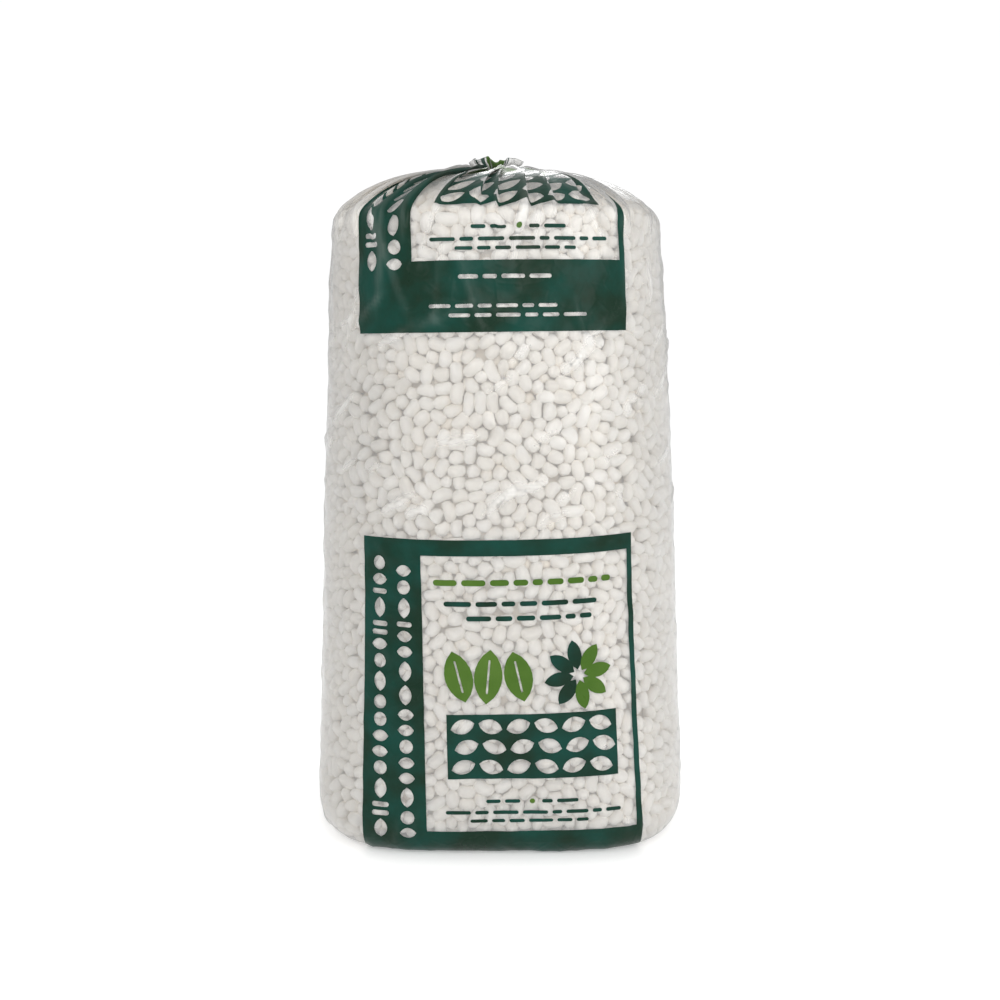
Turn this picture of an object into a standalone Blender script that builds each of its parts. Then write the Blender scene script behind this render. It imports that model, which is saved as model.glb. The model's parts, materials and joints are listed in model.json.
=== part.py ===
"""A tied clear-film sack of loose starch packing peanuts, standing on its flat bottom. Metres, +Z up, front at -Y."""

import math

import bpy
import numpy as np

# The filled body, outside the film.
BAG_WIDTH = 0.661
BAG_DEPTH = 0.605
CREST_HEIGHT = 1.160
DOME_HEIGHT = 0.090
SHOULDER_INSET = 0.0405
BASE_CORNER_HEIGHT = 0.075
BASE_CORNER_INSET = 0.058
LEAN_LEFT = 0.009
BASE_SQUARENESS = 2.0
BODY_SQUARENESS = 2.2
SQUARE_BASE_HEIGHT = 0.200

# The gathered neck and the loose tail of film above the tie.
PIT_RADIUS = 0.085
PIT_DEPTH = 0.012
NECK_RADIUS = 0.0165
NECK_FILLET = 0.0015
WAIST_HEIGHT = 0.009
TAIL_HEIGHT = 0.038
TAIL_HALF_WIDTH = 0.056
TAIL_HALF_DEPTH = 0.044
NECK_PLEAT = 0.003
TAIL_PLEAT = 0.009
DOME_PLEAT = 0.0035

# The film's wall, drawn thicker than real film, and how it hangs.
FILM_THICKNESS = 0.0003
FILM_SLACK = 0.0025

# Pieces of starch fill, and the clear space that parts the solids.
PEANUT_RELIEF = 0.0065
PEANUT_ROW_STEP = 0.050
CLEARANCE = 0.0004

# The print on the front, measured over the film and up from the floor. It leans with the tube of film.
PRINT_WIDTH = 0.479
PRINT_SHIFT = 0.006
PRINT_LEAN = 0.018
PRINT_BAND_WIDTH = 0.112
PRINT_BORDER_WIDTH = 0.013
PANEL_FOOT = 0.0535
PANEL_TOP = 0.547
PANEL_TOP_BORDER = 0.026
FIELD_FOOT = 0.882
FIELD_HEIGHT = 0.115

# The wire tie round the neck.
TIE_WIRE_RADIUS = 0.0012
TIE_TAIL_LENGTH = 0.034
TIE_TWIST_PITCH = 0.012
TIE_TAIL_LIFT = 0.012
TIE_RING_GAP_DEGREES = 48

# How finely the film is divided.
BAND_COLUMNS = 3
WINDOW_COLUMNS = 9
BACK_COLUMNS = 31
WALL_ROW_STEP = 0.075
PLEAT_PATTERN = (1, 0, -1, 0)
SECTION_SAMPLES = 1440


def clear_scene():
    for obj in list(bpy.data.objects):
        bpy.data.objects.remove(obj, do_unlink=True)


def principled(name, color, roughness, alpha=1.0):
    material = bpy.data.materials.new(name)
    material.use_nodes = True
    shader = material.node_tree.nodes["Principled BSDF"]
    shader.inputs["Base Color"].default_value = (*color, 1.0)
    shader.inputs["Roughness"].default_value = roughness
    shader.inputs["Alpha"].default_value = alpha
    return material


def add_mesh(name, points, faces, materials):
    mesh = bpy.data.meshes.new(name)
    mesh.from_pydata([tuple(map(float, point)) for point in points], [], faces)
    for material in materials:
        mesh.materials.append(material)
    obj = bpy.data.objects.new(name, mesh)
    bpy.context.scene.collection.objects.link(obj)
    return obj


def base_rows():
    """Heights and half widths round the rolled bottom corner."""
    for step in range(6):
        angle = math.radians(90 * step / 5)
        height = BASE_CORNER_HEIGHT * (1 - math.cos(angle))
        yield height, BAG_WIDTH / 2 - BASE_CORNER_INSET * (1 - math.sin(angle))


def wall_half_width(height):
    """The wall draws in slowly at first and faster near the shoulder."""
    shoulder = CREST_HEIGHT - DOME_HEIGHT
    rise = (height - BASE_CORNER_HEIGHT) / (shoulder - BASE_CORNER_HEIGHT)
    return BAG_WIDTH / 2 - SHOULDER_INSET * max(rise, 0.0) ** 1.9


def wall_rows():
    """Rows between the bottom corner and the shoulder, with one on each level edge of the print."""
    shoulder = CREST_HEIGHT - DOME_HEIGHT
    edges = [
        PANEL_TOP - PANEL_TOP_BORDER,
        PANEL_TOP,
        FIELD_FOOT,
        FIELD_FOOT + FIELD_HEIGHT,
    ]
    stops = [BASE_CORNER_HEIGHT, *edges, shoulder]
    for low, high in zip(stops, stops[1:]):
        steps = max(1, round((high - low) / WALL_ROW_STEP))
        for step in range(1, steps + 1):
            height = low + (high - low) * step / steps
            yield height, wall_half_width(height)


def dome_rows():
    shoulder_half = BAG_WIDTH / 2 - SHOULDER_INSET
    for rise in (0.30, 0.55, 0.76, 0.92, 1.0):
        height = CREST_HEIGHT - DOME_HEIGHT * (1 - rise)
        spread = math.sqrt(1 - rise**1.75)
        yield height, PIT_RADIUS + (shoulder_half - PIT_RADIUS) * spread


def ellipse(half_width, half_depth, squareness):
    """A closed superellipse from the back round by the left, the front at its middle: its x, y and arc lengths."""
    angle = np.linspace(-math.pi, math.pi, SECTION_SAMPLES + 1)
    across, along = np.sin(angle), np.cos(angle)
    power = 2 / squareness
    x = half_width * np.sign(across) * np.abs(across) ** power
    y = -half_depth * np.sign(along) * np.abs(along) ** power
    steps = np.hypot(np.diff(x), np.diff(y))
    arc = np.concatenate([[0.0], np.cumsum(steps)])
    return x, y, arc - arc[-1] / 2


def print_edges(height):
    """The upright edges of the print at this height: left, inside of the band, inside of the border, right."""
    left = PRINT_SHIFT - PRINT_LEAN * height - PRINT_WIDTH / 2
    right = left + PRINT_WIDTH
    return left, left + PRINT_BAND_WIDTH, right - PRINT_BORDER_WIDTH, right


def column_places(girth, shoulder_girth, height):
    """Distances over the film from the front's centre line, with columns on the print's upright edges."""
    scale = min(1.0, girth / shoulder_girth)
    left, band, border, right = print_edges(height)
    places = [left + (band - left) * i / BAND_COLUMNS for i in range(BAND_COLUMNS)]
    places += [band + (border - band) * i / WINDOW_COLUMNS for i in range(WINDOW_COLUMNS)]
    places = [place * scale for place in (*places, border, right)]
    rest = girth - (right - left) * scale
    places += [right * scale + rest * i / BACK_COLUMNS for i in range(1, BACK_COLUMNS)]
    return np.array(places)


def ring(height, half_width, depth_ratio, squareness, shoulder_girth):
    """One row of film points, and the angle of each about the bag's axis."""
    x, y, arc = ellipse(half_width, half_width * depth_ratio, squareness)
    girth = arc[-1] - arc[0]
    places = column_places(girth, shoulder_girth, height)
    places = np.where(places > girth / 2, places - girth, places)
    px, py = np.interp(places, arc, x), np.interp(places, arc, y)
    return np.column_stack([px, py, np.full(len(px), height)]), np.arctan2(px, -py)


def slack(angle, height):
    """How far the film hangs in from its full section, in soft long folds that fade at the base and the shoulder."""
    rise = np.clip(height / (CREST_HEIGHT - DOME_HEIGHT), 0, 1)
    fade = math.sin(math.pi * rise) ** 0.5
    waves = np.sin(5 * angle + 9 * height) + np.sin(3 * angle - 14 * height + 1.0)
    return FILM_SLACK * fade * (0.5 + 0.25 * waves)


def body_rings():
    """Rows of film points from the bottom edge to the rim of the pit round the neck."""
    ratio = BAG_DEPTH / BAG_WIDTH
    shoulder_half = BAG_WIDTH / 2 - SHOULDER_INSET
    arc = ellipse(shoulder_half, shoulder_half * ratio, BODY_SQUARENESS)[2]
    shoulder_girth = arc[-1] - arc[0]
    rows = [*base_rows(), *wall_rows(), *dome_rows()]
    rings = []
    for height, half_width in rows:
        fall = math.exp(-((height / SQUARE_BASE_HEIGHT) ** 1.3))
        squareness = BODY_SQUARENESS + BASE_SQUARENESS * fall
        above = max(0.0, height - (CREST_HEIGHT - DOME_HEIGHT)) / DOME_HEIGHT
        depth_ratio = ratio + (1 - ratio) * above**4
        points, angle = ring(height, half_width, depth_ratio, squareness, shoulder_girth)
        inward = slack(angle, height)
        points[:, 0] -= np.sin(angle) * inward
        points[:, 1] += np.cos(angle) * inward
        points[:, 2] += DOME_PLEAT * above * pleats(len(points))
        rings.append(points)
    return rings, shoulder_girth


def pleats(count):
    return np.array([PLEAT_PATTERN[i % len(PLEAT_PATTERN)] for i in range(count)])


def neck_rings(shoulder_girth):
    """Rows down into the pit, up through the tied waist and out over the tail."""
    neck = CREST_HEIGHT - PIT_DEPTH
    waist = neck + NECK_FILLET
    neck_edge = NECK_RADIUS + 2 * NECK_FILLET
    rows = []
    for sink, share in ((0.35, 0.55), (0.75, 0.2), (1.0, 0.0)):
        radius = neck_edge + (PIT_RADIUS - neck_edge) * share
        rows.append((CREST_HEIGHT - PIT_DEPTH * sink, radius, radius, NECK_PLEAT))
    for height in (waist, waist + WAIST_HEIGHT):
        rows.append((height, NECK_RADIUS, NECK_RADIUS, NECK_PLEAT))
    for rise, share in ((0.25, 0.27), (0.5, 0.6), (0.75, 0.89), (1.0, 1.0)):
        wide = NECK_RADIUS + (TAIL_HALF_WIDTH - NECK_RADIUS) * share
        deep = NECK_RADIUS + (TAIL_HALF_DEPTH - NECK_RADIUS) * share
        height = waist + WAIST_HEIGHT + TAIL_HEIGHT * rise
        rows.append((height, wide, deep, NECK_PLEAT + (TAIL_PLEAT - NECK_PLEAT) * share))
    for height, wide, deep, pleat in rows:
        points, angle = ring(height, wide, deep / wide, 2.0, shoulder_girth)
        push = pleat * pleats(len(points))
        points[:, 0] += np.sin(angle) * push
        points[:, 1] -= np.cos(angle) * push
        yield points


def lean(points):
    """The soft bag leans a little to the left as it rises."""
    moved = points.copy()
    moved[:, 0] -= LEAN_LEFT * (moved[:, 2] / CREST_HEIGHT) ** 2
    return moved


def skin_faces(ring_count, columns):
    """Triangles over the stacked rings, all with the same diagonal, and a fan under the first ring."""
    faces = []
    for row in range(ring_count - 1):
        for column in range(columns):
            after = (column + 1) % columns
            a, b = row * columns + column, row * columns + after
            c, d = a + columns, b + columns
            faces += [(a, b, d), (a, d, c)]
    bottom = ring_count * columns
    faces += [((c + 1) % columns, c, bottom) for c in range(columns)]
    return faces


def vertex_normals(points, faces):
    corners = points[np.array(faces)]
    face_normals = np.cross(corners[:, 1] - corners[:, 0], corners[:, 2] - corners[:, 0])
    normals = np.zeros_like(points)
    for corner in range(3):
        np.add.at(normals, np.array(faces)[:, corner], face_normals)
    return normals / np.linalg.norm(normals, axis=1)[:, None]


def is_printed(column, height):
    """Whether ink covers the film in this column and at this height."""
    window = BAND_COLUMNS <= column < BAND_COLUMNS + WINDOW_COLUMNS
    if column > BAND_COLUMNS + WINDOW_COLUMNS:
        return False
    if height < PANEL_TOP:
        return not (window and PANEL_FOOT < height < PANEL_TOP - PANEL_TOP_BORDER)
    if height < FIELD_FOOT:
        return False
    return not (window and height > FIELD_FOOT + FIELD_HEIGHT)


def print_faces(obj, rings):
    """Gives the ink to the film's faces between the print's edges, up to the rim of the pit."""
    columns = len(rings[0])
    for polygon in obj.data.polygons:
        row, column = divmod(polygon.index // 2, columns)
        if row < len(rings) - 1:
            height = (rings[row][column, 2] + rings[row + 1][column, 2]) / 2
            polygon.material_index = int(is_printed(column, height))


def make_film_bag(rings, tail):
    film = principled("clear_film", (0.86, 0.86, 0.84), 0.12, alpha=0.25)
    ink = principled("dark_green_ink", (0.012, 0.095, 0.055), 0.25)
    stack = [lean(points) for points in (*rings, *tail)]
    centre = np.array([[0.0, 0.0, 0.0]])
    points = np.vstack([*stack, centre])
    faces = skin_faces(len(stack), len(rings[0]))
    obj = add_mesh("film_bag", points, faces, [film, ink])
    print_faces(obj, rings)
    wall = obj.modifiers.new("film wall", "SOLIDIFY")
    wall.thickness = FILM_THICKNESS
    wall.offset = -1.0
    return points, faces


def lumpy_rows(points, normals, columns, kept):
    """The film's rows moved in past its wall, with a row halfway wherever two are far apart, and hollows between lumps."""
    rows = []
    for row in range(kept):
        here = slice(row * columns, (row + 1) * columns)
        if row:
            before = slice((row - 1) * columns, row * columns)
            if abs(points[here, 2] - points[before, 2]).mean() > PEANUT_ROW_STEP:
                middle = (normals[here] + normals[before]) / 2
                rows.append(((points[here] + points[before]) / 2, middle))
        rows.append((points[here], normals[here]))
    for number, (places, outward) in enumerate(rows):
        hollow = (number + np.arange(columns)) % 2 * (number > 0)
        inward = FILM_THICKNESS + CLEARANCE + PEANUT_RELIEF * hollow
        yield places - outward * inward[:, None]


def make_peanut_fill(film_points, film_faces, rings, pit_rings):
    """The settled fill: the film's own surface moved in past its wall, in lumps with hollows between them."""
    columns = len(rings[0])
    kept = len(rings) + pit_rings
    normals = vertex_normals(film_points, film_faces)
    rows = list(lumpy_rows(film_points, normals, columns, kept))
    bottom = film_points[-1] - normals[-1] * (FILM_THICKNESS + CLEARANCE)
    crown = rows[-1].mean(axis=0) - (0.0, 0.0, PIT_DEPTH / 3)
    points = np.vstack([*rows, bottom, crown])
    faces = skin_faces(len(rows), columns)
    last = (len(rows) - 1) * columns
    top = len(points) - 1
    faces += [(last + c, last + (c + 1) % columns, top) for c in range(columns)]
    starch = principled("starch_foam", (0.84, 0.82, 0.78), 0.8)
    add_mesh("peanut_fill", points, faces, [starch])


def tie_path():
    """One wire: a twisted tail at the back, once round the neck, and back out as the other tail."""
    radius = NECK_RADIUS + NECK_PLEAT + CLEARANCE + TIE_WIRE_RADIUS
    height = CREST_HEIGHT - PIT_DEPTH + NECK_FILLET + WAIST_HEIGHT / 2
    apart = TIE_WIRE_RADIUS + CLEARANCE
    start = radius + 4 * TIE_WIRE_RADIUS
    open_angle = math.radians(TIE_RING_GAP_DEGREES / 2)
    turns = TIE_TAIL_LENGTH / TIE_TWIST_PITCH
    steps = math.ceil(8 * turns)

    def tail(side):
        for step in range(steps + 1):
            share = step / steps
            twist = math.tau * turns * share
            yield (
                side * apart * math.cos(twist),
                start + TIE_TAIL_LENGTH * share,
                height + side * apart * math.sin(twist) + TIE_TAIL_LIFT * share,
            )

    ring_points = []
    for step in range(25):
        angle = open_angle + (math.tau - 2 * open_angle) * step / 24
        ring_points.append((radius * math.sin(angle), radius * math.cos(angle), height))
    shift = LEAN_LEFT * (height / CREST_HEIGHT) ** 2
    path = [*reversed(list(tail(1))), *ring_points, *tail(-1)]
    return [(x - shift, y, z) for x, y, z in path]


def make_neck_tie():
    curve = bpy.data.curves.new("neck_tie", "CURVE")
    curve.dimensions = "3D"
    curve.bevel_depth = TIE_WIRE_RADIUS
    curve.bevel_resolution = 1
    curve.use_fill_caps = True
    path = tie_path()
    spline = curve.splines.new("POLY")
    spline.points.add(len(path) - 1)
    for point, place in zip(spline.points, path):
        point.co = (*place, 1.0)
    curve.materials.append(principled("coated_wire", (0.75, 0.75, 0.72), 0.45))
    obj = bpy.data.objects.new("neck_tie", curve)
    bpy.context.scene.collection.objects.link(obj)


def main():
    clear_scene()
    rings, shoulder_girth = body_rings()
    tail = list(neck_rings(shoulder_girth))
    film_points, film_faces = make_film_bag(rings, tail)
    make_peanut_fill(film_points, film_faces, rings, pit_rings=3)
    make_neck_tie()


main()
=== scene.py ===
# %% [markdown]
# # A tied sack of starch packing peanuts
# The real object is a tall tube of clear film. It is filled with thousands of puffed starch
# pieces and gathered at the top under a wire tie, with a green print on its front. What the eye
# sees is mostly the peanuts, pressed against the film, and the film only as a thin haze with
# glints. So this lesson makes the two things apart: first the loose fill, then the film that
# lies over it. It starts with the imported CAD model, which fixes the size and the place of all.

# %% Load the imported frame
import json
import math

import bpy
import numpy as np
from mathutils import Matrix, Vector
from mathutils.bvhtree import BVHTree
from mathutils.geometry import delaunay_2d_cdt
from mathutils.kdtree import KDTree

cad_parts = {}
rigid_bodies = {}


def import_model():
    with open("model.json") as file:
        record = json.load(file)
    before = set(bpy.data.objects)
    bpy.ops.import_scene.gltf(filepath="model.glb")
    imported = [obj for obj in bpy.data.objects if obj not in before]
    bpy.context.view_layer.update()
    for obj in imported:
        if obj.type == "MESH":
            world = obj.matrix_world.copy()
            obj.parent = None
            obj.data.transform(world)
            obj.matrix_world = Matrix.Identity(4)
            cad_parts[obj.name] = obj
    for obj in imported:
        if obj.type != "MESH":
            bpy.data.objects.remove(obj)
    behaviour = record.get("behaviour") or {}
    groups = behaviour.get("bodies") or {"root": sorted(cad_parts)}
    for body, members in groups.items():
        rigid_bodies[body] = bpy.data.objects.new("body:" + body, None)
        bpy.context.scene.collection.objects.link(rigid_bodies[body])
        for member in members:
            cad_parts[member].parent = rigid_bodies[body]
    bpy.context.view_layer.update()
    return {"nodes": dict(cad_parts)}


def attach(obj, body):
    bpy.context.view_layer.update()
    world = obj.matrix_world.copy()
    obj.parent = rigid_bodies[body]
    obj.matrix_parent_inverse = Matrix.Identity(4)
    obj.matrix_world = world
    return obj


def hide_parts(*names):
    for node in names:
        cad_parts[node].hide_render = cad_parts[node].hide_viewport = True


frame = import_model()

# %% [markdown]
# ## The studio
# The photograph is a cut-out on pure white, taken a little above the middle of the sack. A white
# world and four large soft lamps light it from all round, as in a light tent. The floor is a pale
# plane whose finish also glows a little, so that it stays white under the sack. All node trees of
# this lesson, for shaders and for geometry alike, are built with the first helper below.

# %% Helpers for nodes, materials and objects
WHITE = (1.0, 1.0, 1.0, 1.0)


def add(tree, kind, sockets=(), **settings):
    """Adds a node with its settings, and gives each named socket a value or another's output."""
    node = tree.nodes.new(kind)
    for name, value in settings.items():
        setattr(node, name, value)
    for name, value in dict(sockets).items():
        if isinstance(value, bpy.types.NodeSocket):
            tree.links.new(value, node.inputs[name])
        else:
            node.inputs[name].default_value = value
    return node


def add_range(tree, source, low, high, start=0.0, end=1.0):
    """Maps the numbers from start to end onto those from low to high."""
    sockets = {"Value": source, "From Min": start, "From Max": end, "To Min": low, "To Max": high}
    return add(tree, "ShaderNodeMapRange", sockets).outputs["Result"]


def new_material(name):
    material = bpy.data.materials.new(name)
    material.use_nodes = True
    material.node_tree.nodes.clear()
    return material, material.node_tree


def show_surface(tree, shader):
    add(tree, "ShaderNodeOutputMaterial", {"Surface": shader.outputs[0]})


def put_in_scene(name, data, place=(0.0, 0.0, 0.0), turn=(0.0, 0.0, 0.0)):
    obj = bpy.data.objects.new(name, data)
    obj.location = place
    obj.rotation_euler = turn
    bpy.context.scene.collection.objects.link(obj)
    return obj


# %% Camera, lamps and floor
CAMERA_PLACE = (0.0, -2.3, 0.8797)
CAMERA_PITCH_DEGREES = 7.61
CAMERA_LENS = 45.0
SENSOR_WIDTH = 36.0
FLOOR_REACH = 30.0


def make_camera():
    data = bpy.data.cameras.new("camera")
    data.lens = CAMERA_LENS
    data.sensor_width = SENSOR_WIDTH
    turn = (math.radians(90 - CAMERA_PITCH_DEGREES), 0.0, 0.0)
    bpy.context.scene.camera = put_in_scene("camera", data, CAMERA_PLACE, turn)


def make_lamp(name, place, target, size, watts, color):
    data = bpy.data.lights.new(name, "AREA")
    data.shape = "DISK"
    data.size = size
    data.energy = watts
    data.color = color
    aim = Vector(target) - Vector(place)
    put_in_scene(name, data, place, aim.to_track_quat("-Z", "Y").to_euler())


def make_floor():
    mesh = bpy.data.meshes.new("studio_floor")
    signs = ((-1, -1), (1, -1), (1, 1), (-1, 1))
    corners = [(x * FLOOR_REACH, y * FLOOR_REACH, 0) for x, y in signs]
    mesh.from_pydata(corners, [], [(0, 1, 2, 3)])
    material, tree = new_material("studio_white")
    look = {"Base Color": (0.9, 0.9, 0.9, 1.0), "Roughness": 0.9}
    glow = {"Emission Color": WHITE, "Emission Strength": 0.33}
    show_surface(tree, add(tree, "ShaderNodeBsdfPrincipled", look | glow))
    mesh.materials.append(material)
    put_in_scene("studio_floor", mesh)


def make_world(seen, lit):
    """A white backdrop of one brightness to the camera, and of another as light."""
    world = bpy.data.worlds.new("light_tent")
    world.use_nodes = True
    tree = world.node_tree
    background = tree.nodes["Background"]
    background.inputs["Color"].default_value = WHITE
    path = add(tree, "ShaderNodeLightPath")
    level = add_range(tree, path.outputs["Is Camera Ray"], lit, seen)
    tree.links.new(level, background.inputs["Strength"])
    bpy.context.scene.world = world


make_camera()
make_world(seen=1.02, lit=0.80)
make_floor()
make_lamp("key_lamp", (-1.9, -2.6, 2.3), (0, 0, 0.65), 1.3, 11, (1.0, 0.99, 0.97))
make_lamp("fill_lamp", (2.3, -2.2, 1.5), (0, 0, 0.6), 1.6, 17, (0.98, 0.99, 1.0))
make_lamp("front_lamp", (0.3, -3.0, 2.0), (0, 0, 0.8), 1.8, 26, (1.0, 0.985, 0.96))
make_lamp("back_lamp", (0.2, 2.6, 2.0), (0, 0, 0.6), 1.6, 18, (1.0, 1.0, 1.0))
bpy.context.scene.view_settings.view_transform = "Standard"
print("studio made; camera at", CAMERA_PLACE)

# %% [markdown]
# ## The shape of the full sack
# A sack that stands full of loose pieces is a soft column. Its bottom is pressed flat and its
# corners are rolled, the wall draws in towards the shoulder, and a low dome runs in to the tied
# neck. These are the CAD model's own values, and the rows below follow the same rules, only
# closer together. Each row is a superellipse, squarer at the base than higher up.

# %% Sizes of the sack, in metres
BAG_WIDTH = 0.661
BAG_DEPTH = 0.605
CREST_HEIGHT = 1.160
DOME_HEIGHT = 0.090
SHOULDER = CREST_HEIGHT - DOME_HEIGHT
SHOULDER_INSET = 0.0405
BASE_CORNER_HEIGHT = 0.075
BASE_CORNER_INSET = 0.058
LEAN_LEFT = 0.009
BASE_SQUARENESS = 2.0
BODY_SQUARENESS = 2.2
SQUARE_BASE_HEIGHT = 0.200
PIT_RADIUS = 0.085
PIT_DEPTH = 0.012
NECK_RADIUS = 0.0165
NECK_FILLET = 0.0015
WAIST_HEIGHT = 0.009
TAIL_HEIGHT = 0.038
TAIL_HALF_WIDTH = 0.056
TAIL_HALF_DEPTH = 0.044
TAIL_GAP = 0.0012
DEPTH_RATIO = BAG_DEPTH / BAG_WIDTH
ROW_STEP = 0.006


def section_squareness(height):
    fall = np.exp(-((np.maximum(height, 0) / SQUARE_BASE_HEIGHT) ** 1.3))
    return BODY_SQUARENESS + BASE_SQUARENESS * fall


def section_depth_ratio(height):
    above = np.clip((height - SHOULDER) / DOME_HEIGHT, 0, 1)
    return DEPTH_RATIO + (1 - DEPTH_RATIO) * above**4


def wall_half_width(height):
    rise = (height - BASE_CORNER_HEIGHT) / (SHOULDER - BASE_CORNER_HEIGHT)
    return BAG_WIDTH / 2 - SHOULDER_INSET * max(rise, 0.0) ** 1.9


# %% Rows from the middle of the bottom to the tail's rim
def spread_evenly(half, height, step):
    """Points a step apart along a path given by many points, both ends kept."""
    arc = np.concatenate([[0.0], np.cumsum(np.hypot(np.diff(half), np.diff(height)))])
    places = np.linspace(0, arc[-1], max(2, round(arc[-1] / step)) + 1)
    return np.interp(places, arc, half), np.interp(places, arc, height)


def body_profile():
    """Half widths and heights up the sack, and the row after each part's last one."""
    flat = BAG_WIDTH / 2 - BASE_CORNER_INSET
    under = [(flat * i / 14, 0.0) for i in range(1, 14)]
    corner = []
    for turn in np.radians(np.linspace(0, 90, 13)):
        half = BAG_WIDTH / 2 - BASE_CORNER_INSET * (1 - math.sin(turn))
        corner.append((half, BASE_CORNER_HEIGHT * (1 - math.cos(turn))))
    count = round((SHOULDER - BASE_CORNER_HEIGHT) / ROW_STEP)
    heights = np.linspace(BASE_CORNER_HEIGHT, SHOULDER, count + 1)[1:]
    wall = [(wall_half_width(z), z) for z in heights]
    rise = 1 - np.linspace(1, 0, 400) ** 2
    shoulder_half = BAG_WIDTH / 2 - SHOULDER_INSET
    dome_half = PIT_RADIUS + (shoulder_half - PIT_RADIUS) * np.sqrt(np.clip(1 - rise**1.75, 0, 1))
    dome = list(zip(*spread_evenly(dome_half, SHOULDER + DOME_HEIGHT * rise, ROW_STEP)))[1:]
    neck_edge = NECK_RADIUS + 2 * NECK_FILLET
    share = np.linspace(0, 1, 13)[1:]
    drop = PIT_DEPTH * (3 * share**2 - 2 * share**3)
    pit = list(zip(PIT_RADIUS + (neck_edge - PIT_RADIUS) * share, CREST_HEIGHT - drop))
    parts = [under, corner, wall, dome, pit]
    starts = np.cumsum([len(part) for part in parts])
    return np.array([row for part in parts for row in part]), starts


profile, part_starts = body_profile()
waist_height = CREST_HEIGHT - PIT_DEPTH + NECK_FILLET
print("body rows", len(profile), "highest", round(profile[:, 1].max(), 4))


def neck_profile():
    """Half widths, half depths and heights of the waist, and of the tail outside and inside."""
    rows = [(NECK_RADIUS, NECK_RADIUS, waist_height + WAIST_HEIGHT * i / 3) for i in range(4)]
    foot = waist_height + WAIST_HEIGHT
    shares = np.interp(np.arange(1, 11) / 10, (0, 0.25, 0.5, 0.75, 1), (0, 0.27, 0.6, 0.89, 1))
    outside = []
    for step, share in enumerate(shares, 1):
        wide = NECK_RADIUS + (TAIL_HALF_WIDTH - NECK_RADIUS) * share
        deep = NECK_RADIUS + (TAIL_HALF_DEPTH - NECK_RADIUS) * share
        outside.append((wide, deep, foot + TAIL_HEIGHT * step / 10))
    inside = [(w - TAIL_GAP, d - TAIL_GAP, z - 0.0002) for w, d, z in outside[::-1]]
    return np.array(rows + outside + inside)


neck = neck_profile()

# %% [markdown]
# ## A map of the film
# Film is a flat tube before it is filled, so a place on it is two lengths: s, how far round from
# the middle of the front, and t, how far up. The table below holds the point in space for each
# grid place, and any other place is read between them. The print, the folds and the film's mesh
# all use this one map, so they stay together.

# %% Columns round the film and the table of points
FRONT_HALF = 0.2625
SECTION_SAMPLES = 1440


def section(half_width, half_depth, squareness):
    """A closed superellipse that starts at the back and goes round by the left: x, y and arc."""
    angle = np.linspace(-math.pi, math.pi, SECTION_SAMPLES + 1)
    across, along = np.sin(angle), np.cos(angle)
    power = 2 / squareness
    x = half_width * np.sign(across) * np.abs(across) ** power
    y = -half_depth * np.sign(along) * np.abs(along) ** power
    arc = np.concatenate([[0.0], np.cumsum(np.hypot(np.diff(x), np.diff(y)))])
    return x, y, arc - arc[-1] / 2


shoulder_half = BAG_WIDTH / 2 - SHOULDER_INSET
shoulder_arc = section(shoulder_half, shoulder_half * DEPTH_RATIO, BODY_SQUARENESS)[2]
GIRTH = 2 * shoulder_arc[-1]
FRONT_COLUMNS = 88
BACK_COLUMNS = round((GIRTH - 2 * FRONT_HALF) / 0.0062)
COLUMNS = FRONT_COLUMNS + BACK_COLUMNS
front_s = np.linspace(-FRONT_HALF, FRONT_HALF, FRONT_COLUMNS + 1)
back_s = np.linspace(FRONT_HALF, GIRTH - FRONT_HALF, BACK_COLUMNS + 1)[1:-1]
column_s = np.concatenate([front_s, back_s])


def row_points(half_width, half_depth, height, squareness):
    """One row of the table: a point for each column."""
    x, y, arc = section(half_width, half_depth, squareness)
    half_girth = arc[-1]
    narrow = min(1.0, 2 * half_girth / GIRTH)
    edge = FRONT_HALF * narrow
    s = np.where(column_s > GIRTH / 2, column_s - GIRTH, column_s)
    outer = (np.abs(s) - FRONT_HALF) / (GIRTH / 2 - FRONT_HALF)
    back = edge + outer * (half_girth - edge)
    places = np.where(np.abs(s) <= FRONT_HALF, np.abs(s) * narrow, back) * np.sign(s)
    lean = LEAN_LEFT * (height / CREST_HEIGHT) ** 2
    points = [np.interp(places, arc, x) - lean, np.interp(places, arc, y)]
    return np.column_stack([*points, np.full(COLUMNS, height)])


def table_of_rows():
    """Points of all rows, and their t: height on the wall, length along the film elsewhere."""
    rows, front = [], []
    for half, height in profile:
        ratio = float(section_depth_ratio(height))
        under = 2 + 2.2 * (half / 0.2725) ** 2
        squareness = float(section_squareness(height)) if height > 0 else under
        rows.append(row_points(half, half * ratio, height, squareness))
        front.append((half * ratio, height))
    for wide, deep, height in neck:
        rows.append(row_points(wide, deep, height, 2.0))
        front.append((deep, height))
    front = np.array(front)
    steps = np.hypot(np.diff(front[:, 0]), np.diff(front[:, 1]))
    t = np.concatenate([[0.0], np.cumsum(steps)])
    foot, shoulder_row = part_starts[0], part_starts[2] - 1
    t -= t[foot]
    on_wall = slice(foot, shoulder_row + 1)
    t[shoulder_row:] += SHOULDER - t[shoulder_row]
    t[on_wall] = front[on_wall, 1]
    return np.array(rows), t


table, row_t = table_of_rows()
BODY_ROWS = len(profile)
t_ends = round(row_t[0], 4), round(row_t[-1], 4)
print("table", table.shape, "girth", round(GIRTH, 4), "t from and to", t_ends)


def unit(vectors):
    lengths = np.linalg.norm(vectors, axis=2, keepdims=True)
    return vectors / np.maximum(lengths, 1e-12)


around = np.roll(table, -1, axis=1) - np.roll(table, 1, axis=1)
upward = np.gradient(table, axis=0)
normals = unit(np.cross(around, upward))

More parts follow.
